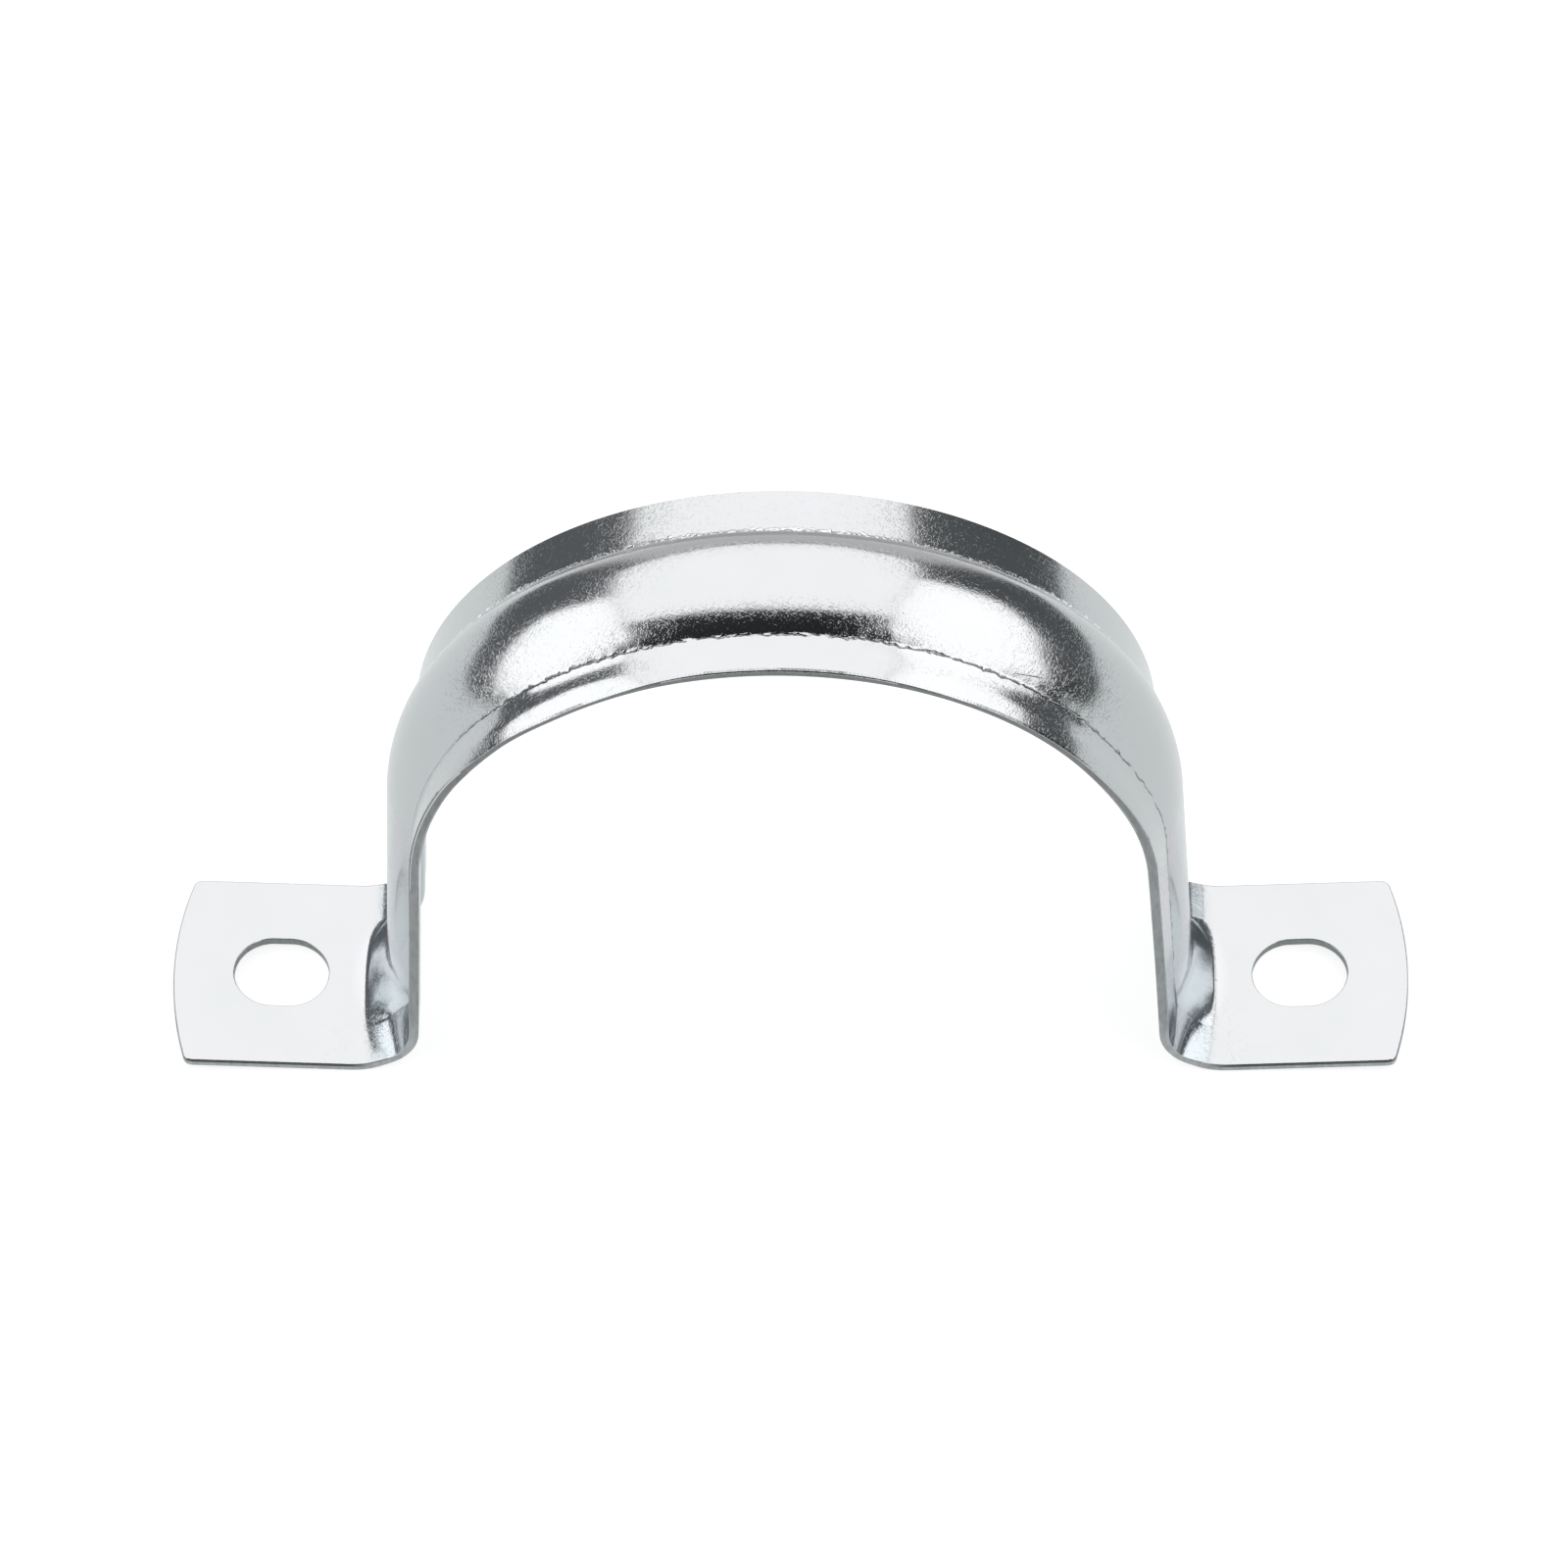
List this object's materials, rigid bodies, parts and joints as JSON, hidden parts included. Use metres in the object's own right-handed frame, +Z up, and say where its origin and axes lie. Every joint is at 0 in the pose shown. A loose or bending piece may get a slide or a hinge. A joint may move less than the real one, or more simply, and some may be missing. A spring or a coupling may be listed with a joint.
{
  "type": "cable clamp",
  "caption": "Saddle clamp pressed from one steel strip: a beaded arch over a conduit, straight legs and outward lugs with fixing slots.",
  "frame": {"origin": "under the middle of the arch, in the plane that the two bends rest on", "axes": "+X along the lugs, +Y across the strip and along the conduit, +Z up through the arch's crown"},
  "size_m": [0.112, 0.0196, 0.0641],
  "materials": {
    "zinc_plated_steel": "bright zinc plate, lightly scratched, sheared edges matt"
  },
  "bodies": {
    "root": {"saddle_strap": "zinc_plated_steel"}
  },
  "joints": []
}
